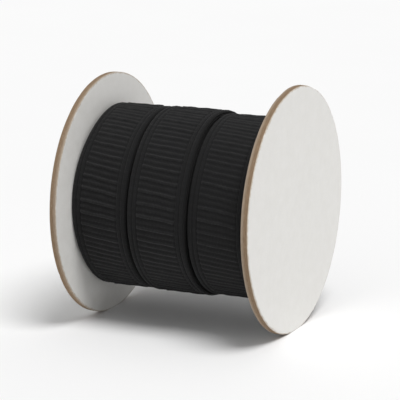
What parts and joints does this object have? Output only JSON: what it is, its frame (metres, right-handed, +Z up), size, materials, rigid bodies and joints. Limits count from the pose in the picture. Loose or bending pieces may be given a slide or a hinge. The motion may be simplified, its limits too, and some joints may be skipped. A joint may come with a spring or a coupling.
{
  "type": "reel of elastic",
  "caption": "Black ribbed sewing elastic wound in side-by-side lanes between the round white cardboard flanges of a reel.",
  "frame": {"origin": "on the floor, under the middle of the reel, midway between the flat spots of the two rims", "axes": "+X along the reel's axis, towards the right flange; -Y towards the front; +Z up"},
  "size_m": [0.0866, 0.1016, 0.1011],
  "materials": {
    "elastic": "matt woven polyester and rubber, black, crosswise ribs",
    "board": "white coated faces, bare brown cut rim"
  },
  "bodies": {
    "root": {"wound_elastic": "elastic", "flange_left": "board", "flange_right": "board"}
  },
  "joints": []
}
